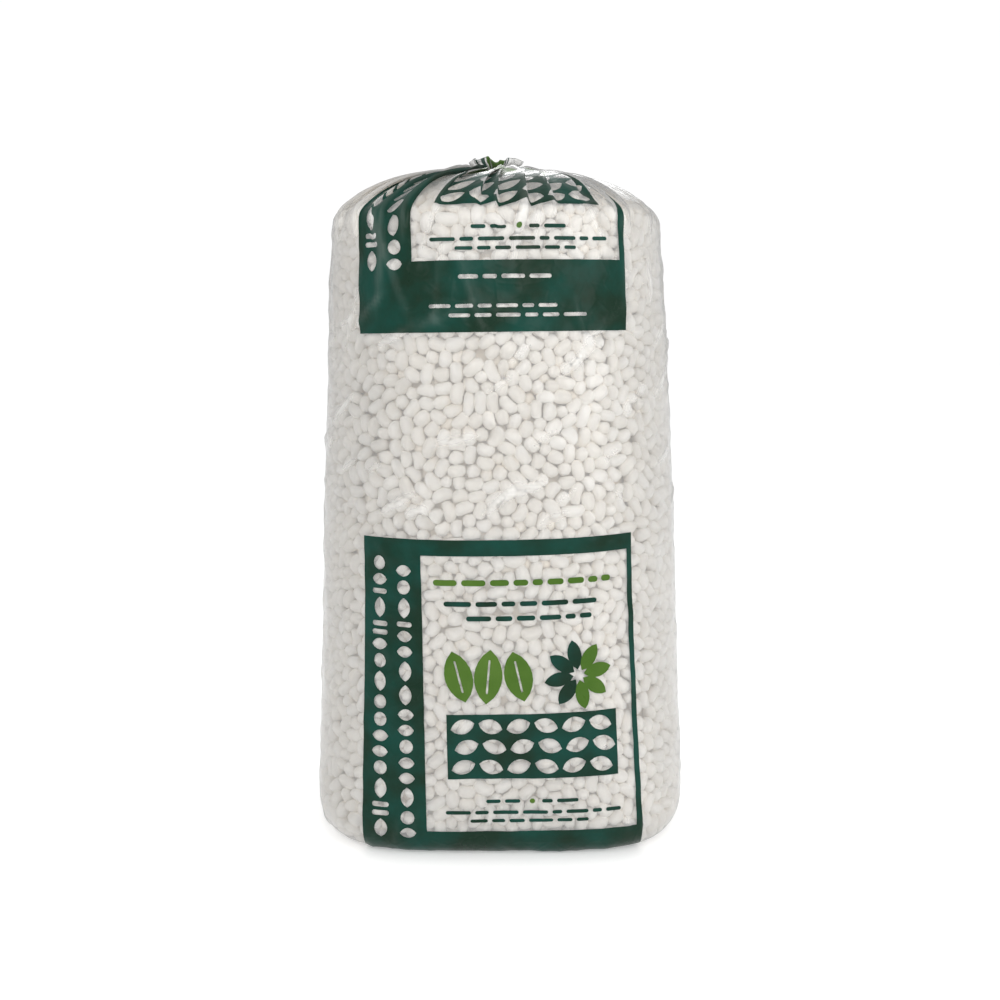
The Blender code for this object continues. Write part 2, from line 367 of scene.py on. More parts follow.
# %% [markdown]
# ## Packing the peanuts
# Each real peanut is a short plump rod, about 23 mm thick and 34 mm long. Poured in, they turn
# and slide until each rests on its neighbours and on the film. Here each one is a chain of three
# balls. They start at random places in a shell behind the film, and in each round any two balls
# that overlap push each other away, while the film pushes back those that poke through it. A
# rigid body simulation would do the same, but this way needs only the distances. Only a shell is
# filled, because nobody can see the middle of the sack.

# %% How deep a point is inside the film
DEPTH_STEP = 0.004
DEPTH_REACH = 0.36
DEPTH_FOOT = -0.024
DEPTH_TOP = 1.20
DEPTH_MIDDLE = 0.5


def body_depth_table():
    """How far inside the film each place of (half width, height) is, and how that changes."""
    wide = np.arange(0, DEPTH_REACH, DEPTH_STEP)
    high = np.arange(DEPTH_FOOT, DEPTH_TOP, DEPTH_STEP)
    grid = np.stack(np.meshgrid(wide, high, indexing="ij"), axis=-1)
    line = np.vstack([[0.0, 0.0], profile, [0.0, profile[-1, 1]]])
    starts, ends = line[:-1], line[1:]
    along = ends - starts
    length2 = (along**2).sum(1)
    nearest = np.full(grid.shape[:2], 9.0)
    for start, way, square in zip(starts, along, np.maximum(length2, 1e-12)):
        share = np.clip(((grid - start) @ way) / square, 0, 1)[..., None]
        nearest = np.minimum(nearest, np.linalg.norm(grid - start - share * way, axis=2))
    centre = np.array([0.0, DEPTH_MIDDLE])
    turn = np.arctan2(line[:, 0], -(line[:, 1] - DEPTH_MIDDLE))
    reach = np.linalg.norm(line - centre, axis=1)
    order = np.argsort(turn)
    here = np.arctan2(grid[..., 0], -(grid[..., 1] - DEPTH_MIDDLE))
    inside = np.linalg.norm(grid - centre, axis=2) < np.interp(here, turn[order], reach[order])
    depth = np.where(inside, nearest, -nearest)
    slope_wide, slope_high = np.gradient(depth, DEPTH_STEP)
    return np.stack([depth, slope_wide, slope_high], axis=-1)


depth_table = body_depth_table()


def read_between(values, row, column):
    """A table's values at places that lie between its own rows and columns."""
    i = np.minimum(row.astype(int), values.shape[0] - 2)
    j = np.minimum(column.astype(int), values.shape[1] - 2)
    a, b = (row - i)[:, None], (column - j)[:, None]
    low = values[i, j] * (1 - b) + values[i, j + 1] * b
    high = values[i + 1, j] * (1 - b) + values[i + 1, j + 1] * b
    return low * (1 - a) + high * a


def depth_inside(points):
    """How deep each point is behind the film, and the direction inwards."""
    x = points[:, 0] + LEAN_LEFT * (points[:, 2] / CREST_HEIGHT) ** 2
    y, z = points[:, 1], points[:, 2]
    power = section_squareness(z)
    ratio = section_depth_ratio(z)
    wide, deep = np.abs(x) + 1e-6, np.abs(y) / ratio + 1e-6
    half = (wide**power + deep**power) ** (1 / power)
    shrink = half ** (1 - power)
    to_x = shrink * wide ** (power - 1) * np.sign(x)
    to_y = shrink * deep ** (power - 1) * np.sign(y) / ratio
    column = np.clip(half / DEPTH_STEP, 0, depth_table.shape[0] - 1.001)
    row = np.clip((z - DEPTH_FOOT) / DEPTH_STEP, 0, depth_table.shape[1] - 1.001)
    value = read_between(depth_table.swapaxes(0, 1), row, column)
    inward = np.column_stack([value[:, 1] * to_x, value[:, 1] * to_y, value[:, 2]])
    steepness = np.maximum(np.linalg.norm(inward, axis=1), 0.3)
    return value[:, 0] / steepness, inward / steepness[:, None]


print("depth at the middle", np.round(depth_inside(np.array([[0.0, 0.0, 0.5]]))[0], 3))

# %% Pairs of balls that are near each other
def near_pairs(points, reach):
    """Index pairs of the points that share a cell, or lie in cells side by side."""
    cells = np.floor(points / reach).astype(np.int64)
    cells -= cells.min(0) - 1
    size = cells.max(0) + 2
    key = (cells[:, 0] * size[1] + cells[:, 1]) * size[2] + cells[:, 2]
    order = np.argsort(key, kind="stable")
    ranked = key[order]
    firsts, seconds = [], []
    steps = [(a, b, c) for a in (-1, 0, 1) for b in (-1, 0, 1) for c in (-1, 0, 1)]
    for a, b, c in steps[13:]:
        target = key + (a * size[1] + b) * size[2] + c
        low = np.searchsorted(ranked, target, "left")
        count = np.searchsorted(ranked, target, "right") - low
        first = np.repeat(np.arange(len(points)), count)
        place = np.arange(count.sum()) - np.repeat(np.cumsum(count) - count, count)
        second = order[np.repeat(low, count) + place]
        if (a, b, c) == (0, 0, 0):
            keep = first < second
            first, second = first[keep], second[keep]
        firsts.append(first)
        seconds.append(second)
    return np.concatenate(firsts), np.concatenate(seconds)


# %% Pour and settle the peanuts
PEANUT_COUNT = 5900
SHELL_DEPTH = 0.035
FILM_REST = 0.0026
PLEAT_ROOM = 0.016
PAIR_REACH = 0.028
PAIR_ROUNDS = 4
HASTE = 1.5
DRIFT = 0.0005
SETTLE_ROUNDS = 130
rng = np.random.default_rng(12)


def poured_peanuts():
    """Random places behind the film, directions, radii and half lengths of the rods."""
    body = table[:BODY_ROWS]
    across = np.linalg.norm(np.roll(body, -1, axis=1) - body, axis=2)[:-1]
    up = np.linalg.norm(np.diff(body, axis=0), axis=2)
    area = (across * up).ravel()
    chosen = rng.choice(len(area), PEANUT_COUNT, p=area / area.sum())
    row, column = np.divmod(chosen, COLUMNS)
    depth = rng.uniform(0.012, SHELL_DEPTH, PEANUT_COUNT)[:, None]
    places = body[row, column] - normals[row, column] * depth
    places += rng.normal(0, 0.004, places.shape)
    axes = rng.normal(0, 1, (PEANUT_COUNT, 3))
    axes /= np.linalg.norm(axes, axis=1)[:, None]
    radius = np.clip(rng.normal(0.0113, 0.0007, PEANUT_COUNT), 0.0098, 0.0128)
    length = np.clip(rng.normal(0.0325, 0.0045, PEANUT_COUNT), 0.0255, 0.042)
    return places, axes, radius, length


def settle(places, axes, radius, length):
    """Moves the rods apart, and keeps them behind the film, a little in each round."""
    count = len(places)
    half = np.maximum(length / 2 - radius, 0.001)[:, None]
    ball_radius = np.tile(radius, 3)
    owner = np.tile(np.arange(count), 3)
    for turn in range(SETTLE_ROUNDS):
        balls = np.vstack([places, places + axes * half, places - axes * half])
        if turn % PAIR_ROUNDS == 0:
            first, second = near_pairs(balls, PAIR_REACH)
            keep = owner[first] != owner[second]
            first, second = first[keep], second[keep]
        between = balls[first] - balls[second]
        apart = np.linalg.norm(between, axis=1)
        overlap = ball_radius[first] + ball_radius[second] - apart
        touching = overlap > 0
        way = between[touching] / np.maximum(apart[touching], 1e-9)[:, None]
        push = way * (0.5 * overlap[touching])[:, None]
        moves = np.zeros_like(balls)
        weight = np.ones(len(balls))
        np.add.at(moves, first[touching], push)
        np.add.at(moves, second[touching], -push)
        np.add.at(weight, first[touching], 0.5)
        np.add.at(weight, second[touching], 0.5)
        depth, inward = depth_inside(balls)
        room = FILM_REST + PLEAT_ROOM * np.clip((balls[:, 2] - SHOULDER) / 0.04, 0, 1)
        outside = np.maximum(ball_radius + room - depth, 0)
        too_deep = np.maximum(depth - SHELL_DEPTH, 0)
        drift = DRIFT * (depth < SHELL_DEPTH)
        moves = HASTE * moves / weight[:, None]
        moves += inward * (outside - 0.2 * too_deep - drift)[:, None]
        middle, ahead, behind = moves[:count], moves[count : 2 * count], moves[2 * count :]
        places = places + (middle + ahead + behind) / 3
        turned = axes * (2 * half) + (ahead - behind)
        axes = turned / np.linalg.norm(turned, axis=1)[:, None]
    return places, axes, overlap[touching]


places, axes, radius, length = poured_peanuts()
places, axes, left_over = settle(places, axes, radius, length)
print("peanuts", len(places), "mean overlap left, mm", round(float(left_over.mean()) * 1000, 2))

# %% [markdown]
# ## The shape of one peanut
# A starch peanut leaves the extruder as a soft rope and is cut while it puffs up, so it is a
# barrel with rounded ends, a bit bent, with shallow dents. Six such shapes are enough. Each has
# only 48 faces, because thousands of copies are made, and smooth shading rounds them off. The
# copies are set by Geometry Nodes, which place one of the six on each settled point, turn it
# along the point's axis, and scale it to the point's size.

# %% Six peanut shapes
SHAPE_COUNT = 6
RING_SIDES = 8
END_POWER = 2.7


def ring_square(row, column, count):
    """The square between two neighbours of a closed row and the two above them."""
    here, after = row * count + column, row * count + (column + 1) % count
    return [here, after, after + count, here + count]


def peanut_shape(number):
    """A barrel of radius 1 and half length 1 along Z, bent and dented a little."""
    shape_rng = np.random.default_rng(100 + number)
    bend = shape_rng.uniform(0.0, 0.22)
    turns = shape_rng.uniform(0, math.tau, 3)
    points = [(0.0, 0.0, -1.0)]
    for along in (-0.90, -0.56, 0.0, 0.56, 0.90):
        width = (1 - abs(along) ** END_POWER) ** (1 / END_POWER)
        for side in range(RING_SIDES):
            angle = math.tau * side / RING_SIDES + 0.2 * along
            dent = 1 + 0.07 * math.sin(2 * angle + turns[0] + 2 * along)
            dent += 0.05 * math.sin(3 * angle + turns[1] - 3 * along)
            x = width * dent * math.cos(angle) + bend * (1 - 2 * along**2)
            points.append((x, width * dent * math.sin(angle), along))
    points.append((0.0, 0.0, 1.0))
    faces = []
    for ring in range(4):
        for side in range(RING_SIDES):
            faces.append([1 + place for place in ring_square(ring, side, RING_SIDES)])
    last = 1 + 4 * RING_SIDES
    for side in range(RING_SIDES):
        after = (side + 1) % RING_SIDES
        faces.append((0, 1 + after, 1 + side))
        faces.append((last + side, last + after, len(points) - 1))
    mesh = bpy.data.meshes.new(f"peanut_shape_{number}")
    mesh.from_pydata(points, [], faces)
    return bpy.data.objects.new(f"peanut_shape_{number}", mesh)


shape_set = bpy.data.collections.new("peanut_shapes")
bpy.context.scene.collection.children.link(shape_set)
for number in range(SHAPE_COUNT):
    shape_set.objects.link(peanut_shape(number))

# %% [markdown]
# ## Starch foam
# Puffed starch is off-white and quite matt. Close up it has fine pores and a slightly wrinkled
# skin, and no two pieces have just the same tone: some are a bit creamier. So one number per
# peanut, stored on its points, shifts the colour, a broad noise adds blotches, and two scales of
# bump give pores and wrinkles. A second number, how deep each point lies in the sack, paints
# shade: further in, the foam is darker and warmer, as where light only arrives after bouncing
# between the peanuts.

# %% Helpers for textures
def object_coordinates(tree):
    return add(tree, "ShaderNodeTexCoord").outputs["Object"]


def add_attribute(tree, name):
    return add(tree, "ShaderNodeAttribute", attribute_name=name).outputs["Fac"]


def add_noise(tree, source, scale, detail):
    sockets = {"Vector": source, "Scale": scale, "Detail": detail}
    return add(tree, "ShaderNodeTexNoise", sockets).outputs["Fac"]


def add_ramp(tree, source, stops):
    """A colour ramp with (place, colour) stops."""
    ramp = add(tree, "ShaderNodeValToRGB", {"Fac": source})
    for element, (place, color) in zip(ramp.color_ramp.elements, stops):
        element.position = place
        element.color = (*color, 1.0)
    return ramp.outputs["Color"]


def add_bump(tree, height, strength, distance, below=None):
    sockets = {"Height": height, "Strength": strength, "Distance": distance}
    if below is not None:
        sockets["Normal"] = below
    return add(tree, "ShaderNodeBump", sockets).outputs["Normal"]


def add_mix(tree, share, first, second, blend="MIX"):
    """Two colours mixed; the node's colour sockets have the numbers 6 and 7."""
    colors = [(*color, 1.0) if isinstance(color, tuple) else color for color in (first, second)]
    sockets = {0: share, 6: colors[0], 7: colors[1]}
    return add(tree, "ShaderNodeMix", sockets, data_type="RGBA", blend_type=blend).outputs[2]


# %% The foam material
PALE_TINT = ((0.0, (0.96, 0.945, 0.92)), (1.0, (1.0, 1.0, 1.0)))
# Painted shade between the peanuts: the depths over which the foam turns darker and warmer, and
# that colour.
GAP_SHADE_DEPTHS = (0.007, 0.022)
PAINTED_GAP_SHADE = (0.93, 0.82, 0.67)


def make_foam(name, pale, cream, tint=True):
    material, tree = new_material(name)
    place = object_coordinates(tree)
    blotch = add_noise(tree, place, 60.0, 3.0)
    color = add_ramp(tree, blotch, [(0.35, cream), (0.62, pale)])
    # A random tone per peanut, and painted shade that grows with depth; the core's foam has
    # neither.
    if tint:
        # A random tone per peanut, not light.
        peanut_tone = add_ramp(tree, add_attribute(tree, "tint"), PALE_TINT)
        color = add_mix(tree, 1.0, color, peanut_tone, "MULTIPLY")
        # Painted shade: deeper in the sack the foam is darker and warmer, as where light arrives
        # only after bouncing between peanuts.
        gap_shade = add_range(tree, add_attribute(tree, "depth"), 0.0, 0.75, *GAP_SHADE_DEPTHS)
        color = add_mix(tree, gap_shade, color, PAINTED_GAP_SHADE)
    wrinkles = add_bump(tree, add_noise(tree, place, 170.0, 3.0), 0.35, 0.0015)
    pores = add(tree, "ShaderNodeTexVoronoi", {"Vector": place, "Scale": 520.0})
    normal = add_bump(tree, pores.outputs["Distance"], 0.25, 0.0006, wrinkles)
    look = {"Base Color": color, "Normal": normal, "Roughness": add_range(tree, blotch, 0.62, 0.85)}
    look["Specular IOR Level"] = 0.25
    show_surface(tree, add(tree, "ShaderNodeBsdfPrincipled", look))
    return material


foam = make_foam("puffed_starch", (0.965, 0.945, 0.915), (0.94, 0.91, 0.865))
# The core's foam is painted shade: the darker, warmer colour of peanuts that only bounced light
# reaches.
painted_shade_foam = make_foam("shaded_starch", (0.92, 0.82, 0.68), (0.84, 0.73, 0.58), tint=False)
print("materials", [material.name for material in (foam, painted_shade_foam)])

# %% The tree that sets a peanut on each point
TREE_SOCKETS = (
    ("Geometry", "INPUT", "Geometry"),
    ("Peanut shapes", "INPUT", "Collection"),
    ("Puff", "INPUT", "Float"),
    ("Foam", "INPUT", "Material"),
    ("Geometry", "OUTPUT", "Geometry"),
)


def stored_vector(tree, name):
    kind = "GeometryNodeInputNamedAttribute"
    return add(tree, kind, {"Name": name}, data_type="FLOAT_VECTOR").outputs["Attribute"]


def random_number(tree, seed, limits=(), kind="FLOAT"):
    sockets = dict(limits) | {"Seed": seed}
    return add(tree, "FunctionNodeRandomValue", sockets, data_type=kind)


def peanut_tree():
    """Numbers stand for sockets whose names are used more than once in a node."""
    tree = bpy.data.node_groups.new("scatter peanuts", "GeometryNodeTree")
    for name, way, kind in TREE_SOCKETS:
        tree.interface.new_socket(name, in_out=way, socket_type="NodeSocket" + kind)
    entry = add(tree, "NodeGroupInput").outputs
    shapes = add(tree, "GeometryNodeCollectionInfo", {
        "Collection": entry["Peanut shapes"], "Separate Children": True, "Reset Children": True})
    which = random_number(tree, 4, {4: 0, 5: SHAPE_COUNT - 1}, "INT").outputs[2]
    roll = random_number(tree, 9, {2: 0.0, 3: math.tau}).outputs[1]
    spin = add(tree, "FunctionNodeAxisAngleToRotation", {"Axis": (0.0, 0.0, 1.0), "Angle": roll})
    axis = {"Vector": stored_vector(tree, "axis")}
    align = add(tree, "FunctionNodeAlignRotationToVector", axis, axis="Z")
    turn = add(tree, "FunctionNodeRotateRotation", {
        "Rotation": align.outputs[0], "Rotate By": spin.outputs[0]}, rotation_space="LOCAL")
    size = add(tree, "ShaderNodeVectorMath", {
        0: stored_vector(tree, "size"), "Scale": entry["Puff"]}, operation="SCALE")
    copies = add(tree, "GeometryNodeInstanceOnPoints", {
        "Points": entry["Geometry"], "Instance": shapes.outputs[0], "Pick Instance": True,
        "Instance Index": which, "Rotation": turn.outputs[0], "Scale": size.outputs["Vector"]})
    tinted = add(tree, "GeometryNodeStoreNamedAttribute", {
        "Geometry": copies.outputs[0], "Name": "tint", "Value": random_number(tree, 21).outputs[1],
    }, data_type="FLOAT", domain="INSTANCE")
    real = add(tree, "GeometryNodeRealizeInstances", {"Geometry": tinted.outputs[0]})
    smooth = add(tree, "GeometryNodeSetShadeSmooth", {"Geometry": real.outputs[0]})
    dressed = add(tree, "GeometryNodeSetMaterial", {
        "Geometry": smooth.outputs[0], "Material": entry["Foam"]})
    add(tree, "NodeGroupOutput", {"Geometry": dressed.outputs[0]})
    return tree


def set_inputs(modifier, tree, values):
    """Sets a modifier's inputs by their identifiers."""
    for item in tree.interface.items_tree:
        if item.item_type == "SOCKET" and item.in_out == "INPUT" and item.name in values:
            modifier[item.identifier] = values[item.name]


def plain_mesh(obj):
    """Replaces an object's modifiers by the mesh that they give."""
    bpy.context.view_layer.update()
    graph = bpy.context.evaluated_depsgraph_get()
    made = bpy.data.meshes.new_from_object(obj.evaluated_get(graph), depsgraph=graph)
    made.name = obj.name
    obj.modifiers.clear()
    obj.data = made
    return obj


def peanuts_at(name, chosen, tree):
    mesh = bpy.data.meshes.new(name + "_points")
    mesh.from_pydata([tuple(place) for place in places[chosen]], [], [])
    sizes = np.column_stack([radius[chosen], radius[chosen], length[chosen] / 2])
    for label, values in (("axis", axes[chosen]), ("size", sizes)):
        attribute = mesh.attributes.new(label, "FLOAT_VECTOR", "POINT")
        attribute.data.foreach_set("vector", values.astype(np.float32).ravel())
    obj = put_in_scene(name, mesh)
    modifier = obj.modifiers.new("scatter", "NODES")
    modifier.node_group = tree
    set_inputs(modifier, tree, {"Peanut shapes": shape_set, "Puff": 1.03, "Foam": foam})
    return pressed_flat(plain_mesh(obj))


def mesh_points(obj):
    points = np.empty(len(obj.data.vertices) * 3, np.float32)
    obj.data.vertices.foreach_get("co", points)
    return points.reshape(-1, 3)


def pressed_flat(obj):
    """Flattens the lowest peanuts at the floor, and stores how deep each point is in the sack."""
    points = mesh_points(obj)
    points[:, 2] = np.maximum(points[:, 2], FILM_REST / 2)
    obj.data.vertices.foreach_set("co", points.ravel())
    # The foam paints its shade between the peanuts from this depth.
    depth = obj.data.attributes.new("depth", "FLOAT", "POINT")
    depth.data.foreach_set("value", depth_inside(points)[0].astype(np.float32))
    return obj


# %% Peanuts by side of the sack
TOP_FOOT = 1.085
scatter = peanut_tree()
side_of = np.degrees(np.arctan2(places[:, 0], -places[:, 1]))
on_top = places[:, 2] > TOP_FOOT
sides = {
    "peanuts_top": on_top,
    "peanuts_front": ~on_top & (np.abs(side_of) <= 45),
    "peanuts_right": ~on_top & (side_of > 45) & (side_of <= 135),
    "peanuts_left": ~on_top & (side_of < -45) & (side_of >= -135),
    "peanuts_back": ~on_top & (np.abs(side_of) > 135),
}
peanut_pieces = [
    peanuts_at(name, np.flatnonzero(chosen), scatter) for name, chosen in sides.items()
]
for shape in list(shape_set.objects):
    bpy.data.objects.remove(shape)
bpy.data.collections.remove(shape_set)
for piece in peanut_pieces:
    print(piece.name, "triangles", sum(len(p.vertices) - 2 for p in piece.data.polygons))

# %% [markdown]
# ## What is behind the peanuts
# Through the gaps the eye meets more peanuts, in shade and warmer in tone, because the light has
# bounced between them many times. A closed, lumpy surface two thirds of a peanut further in
# stands for them, with that shade painted into its darker, warmer colour. It also keeps daylight
# from shining through the sack.

# %% The shaded core
CORE_DEPTH = 0.027
CORE_LUMP = 0.003
CORE_STEP = 4


def cap_faces(count, last, bottom, top):
    """Triangles that close the first row round a bottom point, and the last row round a top one."""
    faces = [[(c + 1) % count, c, bottom] for c in range(count)]
    return faces + [[last + c, last + (c + 1) % count, top] for c in range(count)]


def make_core():
    rows = np.arange(3, BODY_ROWS - 14, CORE_STEP)
    columns = np.arange(0, COLUMNS, CORE_STEP)
    lump = CORE_LUMP * rng.uniform(-1, 1, (len(rows), len(columns)))
    grid = np.ix_(rows, columns)
    points = (table[grid] - normals[grid] * (CORE_DEPTH + lump)[..., None]).reshape(-1, 3)
    points[:, 2] = np.maximum(points[:, 2], CORE_DEPTH)
    count, last = len(columns), (len(rows) - 1) * len(columns)
    faces = [ring_square(row, c, count) for row in range(len(rows) - 1) for c in range(count)]
    faces += cap_faces(count, last, len(points), len(points) + 1)
    poles = [(0, 0, CORE_DEPTH), (0, 0, points[last:, 2].mean())]
    mesh = bpy.data.meshes.new("peanut_core")
    mesh.from_pydata([tuple(p) for p in points] + poles, [], faces)
    mesh.shade_smooth()
    # The core wears the foam with painted shade.
    mesh.materials.append(painted_shade_foam)
    return put_in_scene("peanut_core", mesh)


core = make_core()
print("core faces", len(core.data.polygons))

# %% [markdown]
# ## How the film lies on the peanuts
# Film is thin and slack, but it can't pass through the fill, so it rests on the outermost
# peanuts and spans the hollows between them. Cloth simulation is the usual way to drape a sheet.
# Here the film nearly touches its support everywhere, so a simpler rule gives the same form and
# is quick: each place of the film is pulled to a little below the mean of its neighbours, and
# pushed out again where a peanut is in the way. Rays shot inwards find where the peanuts are.
# They miss the sharpest tips, so those are added point by point, or peanuts would show white
# through the ink. At the end the film is smoothed a little, as its stiffness rounds every tip.

# %% Rest the film on the fill
RAY_START = 0.02
RAY_LENGTH = 0.055
NO_PEANUT = -0.03
TIP_DEPTH = 0.006
FILM_LIFT = 0.0019
SHOULDER_LOSS = 0.0010
SAG = 0.00012
BASE_HOLD = -0.0012


def peanut_heights():
    """How high the peanuts stand above the smooth form; a negative height is inside it."""
    graph = bpy.context.evaluated_depsgraph_get()
    trees = [BVHTree.FromObject(piece, graph) for piece in peanut_pieces]
    heights = np.full((BODY_ROWS, COLUMNS), NO_PEANUT)
    for row in range(BODY_ROWS):
        for column in range(COLUMNS):
            normal = Vector(normals[row, column])
            start = Vector(table[row, column]) + normal * RAY_START
            for tree in trees:
                distance = tree.ray_cast(start, -normal, RAY_LENGTH)[3]
                if distance is not None:
                    heights[row, column] = max(heights[row, column], RAY_START - distance)
    return heights


def with_tips(heights):
    """Raises each place to those corners of peanuts that are nearer to it than to others."""
    smooth = table[:BODY_ROWS].reshape(-1, 3)
    outward = normals[:BODY_ROWS].reshape(-1, 3)
    finder = KDTree(len(smooth))
    for number, place in enumerate(smooth):
        finder.insert(place, number)
    finder.balance()
    found = heights.ravel().copy()
    for piece in peanut_pieces:
        points = mesh_points(piece)
        for point in points[depth_inside(points)[0] < TIP_DEPTH]:
            number = finder.find(point)[1]
            found[number] = max(found[number], (point - smooth[number]) @ outward[number])
    return found.reshape(heights.shape)


def beside(values):
    """The neighbours of every place to both sides, below and above."""
    padded = np.pad(values, ((1, 1), (0, 0)), mode="edge")
    return np.roll(values, 1, axis=1), np.roll(values, -1, axis=1), padded[:-2], padded[2:]


def widened(heights):
    """Each place takes the highest of itself and, less a little, its neighbours."""
    return np.maximum(heights, np.max(beside(heights), axis=0) - SHOULDER_LOSS)


def relaxed(floor, rounds):
    """Pulls the film tight over what it rests on."""
    film = np.zeros_like(floor)
    for _ in range(rounds):
        left, right, below, above = beside(film)
        mean = 0.5 * ((left + right) / 2) + 0.25 * (below + above)
        film = np.maximum(floor, mean - SAG)
    return film


def softened(film, rounds):
    for _ in range(rounds):
        film = 0.5 * film + 0.125 * sum(beside(film))
    return film


support = widened(with_tips(peanut_heights()))
body_t = row_t[:BODY_ROWS]
base_hold = np.where((body_t < 0.10) & (body_t > -0.06), BASE_HOLD, -1.0)[:, None]
film_height = softened(relaxed(np.maximum(support + FILM_LIFT, base_hold), 80), 3)
spread = np.percentile(film_height, (1, 50, 99)) * 1000
print("film against the smooth form, mm:", np.round(spread, 2))

# %% [markdown]
# ## Slack, creases and pleats
# A real film bag is never quite smooth. Long soft folds run down from the shoulder, short creases
# cross the upper third where the fill has sunk a little, and the whole width of the tube has to
# go through a neck 35 mm wide, so it lies in deep pleats over the dome, each folded over to one
# side. All are heights added to the film: a crease is a ridge with soft ends at a seeded place,
# and a pleat rises slowly, falls steeply, and is pushed sideways so that it hangs over. Each
# pleat also slips a little up or down, so that the print steps at its edge, and a mark from 0 to
# 1 tells the finish where the film is folded or gathered. The finish makes the film whiter and the
# ink paler there: partly the haze of folded and gathered film, partly painted highlights, the
# glints that lamps would give on the flanks of creases and on the pleats' crests.

# %% Creases on the wall
fold_rng = np.random.default_rng(31)
signed_s = np.where(column_s > GIRTH / 2, column_s - GIRTH, column_s)
flat_s, flat_t = np.meshgrid(signed_s, body_t)


def crease(s, t, angle, length, width, height):
    """A soft ridge on the film, its angle from upright in degrees."""
    lean_angle = math.radians(angle)
    ds = (flat_s - s + GIRTH / 2) % GIRTH - GIRTH / 2
    dt = flat_t - t
    along = ds * math.sin(lean_angle) + dt * math.cos(lean_angle)
    across = ds * math.cos(lean_angle) - dt * math.sin(lean_angle)
    ends = np.clip(1 - (2 * along / length) ** 2, 0, 1)
    return height * ends * np.exp(-((across / width) ** 2))


def wall_creases():
    """For each kind: how many, between which heights, angles, lengths, and how wide and high."""
    kinds = (
        (46, (0.90, 1.08), (-24, 24), (0.08, 0.26), 0.0070, 0.0034),
        (60, (0.58, 0.95), (48, 76), (0.05, 0.14), 0.0070, 0.0042),
        (40, (0.55, 0.95), (-60, 40), (0.03, 0.09), 0.0060, 0.0022),
        (60, (0.10, 0.60), (-70, 70), (0.03, 0.10), 0.0060, 0.0014),
        (34, (0.00, 0.07), (-16, 16), (0.04, 0.10), 0.0065, 0.0030),
    )
    total = np.zeros_like(flat_s)
    for count, (low, high), angles, (shortest, longest), width, height in kinds:
        for _ in range(count):
            s = fold_rng.uniform(-GIRTH / 2, GIRTH / 2)
            t = fold_rng.uniform(low, high)
            angle = fold_rng.uniform(*angles)
            length = fold_rng.uniform(shortest, longest)
            total += crease(s, t, angle, length, width, height * fold_rng.uniform(0.5, 1.0))
    return total


# %% Pleats over the dome
PLEAT_COUNT = 36
PLEAT_HEIGHT = 0.0105
PLEAT_CREST = 0.8
PLEAT_COVER = 1.2
PLEAT_SLIP = 0.020
TUBE_SLACK = 0.10
# Painted highlights and fold haze: how white the pleat crests are, how white gathered film near the
# neck is, and the crease height at which a crease is fully white.
CREST_FOLD_GLINT = 0.7
GATHER_HAZE = 0.5
CREASE_FOLD_GLINT = 0.0045
PLEAT_RUN = 0.06
COLLAR_HEIGHT = 0.014
COLLAR_FOOT = -0.040
COLLAR_OUTER = 0.060
COLLAR_INNER = 0.035
RUFFLE_PUSH = 0.009
TAIL_DRAW = 0.011
WAIST_PLEATS = 0.003
row_half = np.concatenate([profile[:, 0], neck[:, 0]])
row_girth = np.linalg.norm(np.roll(table, -1, axis=1) - table, axis=2).sum(1)
narrowing = np.minimum(1.0, row_girth / GIRTH)


def pleat_rise():
    """How far up its pleat each column is, from 0 to 1; the pleat's width, start and strength."""
    cuts = np.cumsum(fold_rng.uniform(0.5, 1.6, PLEAT_COUNT))
    cuts = np.round(cuts / cuts[-1] * COLUMNS).astype(int)
    rise, width, start, strength = (np.zeros(COLUMNS) for _ in range(4))
    first = 0
    for cut in cuts:
        count = cut - first
        crest = max(1, round(PLEAT_CREST * count))
        steps = np.arange(count)
        here = (first + steps + FRONT_COLUMNS // 3) % COLUMNS
        fall = (count - steps) / max(count - crest, 1)
        rise[here] = np.where(steps <= crest, steps / crest, fall)
        width[here] = count * GIRTH / COLUMNS
        start[here] = SHOULDER + fold_rng.uniform(-0.05, 0.04)
        strength[here] = fold_rng.uniform(0.6, 1.0)
        first = cut
    return rise, width, start, strength


rise, pleat_width, pleat_start, pleat_strength = pleat_rise()
grown = np.clip((row_t[:, None] - pleat_start) / PLEAT_RUN, 0, 1)
grown = grown * (2 - grown)
pleat = rise**1.5 * pleat_strength * grown
pleat_lift = pleat * np.minimum(PLEAT_HEIGHT, 0.0004 + 0.15 * row_half)[:, None]
spare = (1 + TUBE_SLACK - narrowing)[:, None] * PLEAT_CREST * pleat_width
pitch = narrowing[:, None] * pleat_width
pleat_shift = rise * grown * np.minimum(spare, PLEAT_COVER * pitch)
crease_height = wall_creases()
body_height = np.maximum(film_height + crease_height, support + FILM_LIFT / 2)
# A mark for the finish: painted highlights on the pleats' crests and along creases, standing for
# lamp glints, plus the haze of gathered film near the neck.
fold_glint_mark = rise**8 * grown * CREST_FOLD_GLINT + GATHER_HAZE * (1 - narrowing)[:, None]
fold_glint_mark[:BODY_ROWS] += np.clip(crease_height / CREASE_FOLD_GLINT, 0, 1) ** 2
fold_glint_mark = np.clip(fold_glint_mark, 0, 1)
slip = (rise - 0.5) * pleat_strength * grown * PLEAT_SLIP
pleat_slip = slip * (row_half / shoulder_half)[:, None]
print("creases up to, mm", round(float((body_height - film_height).max()) * 1000, 1))
print("folded-over film up to, mm", round(float(pleat_shift.max()) * 1000, 1))

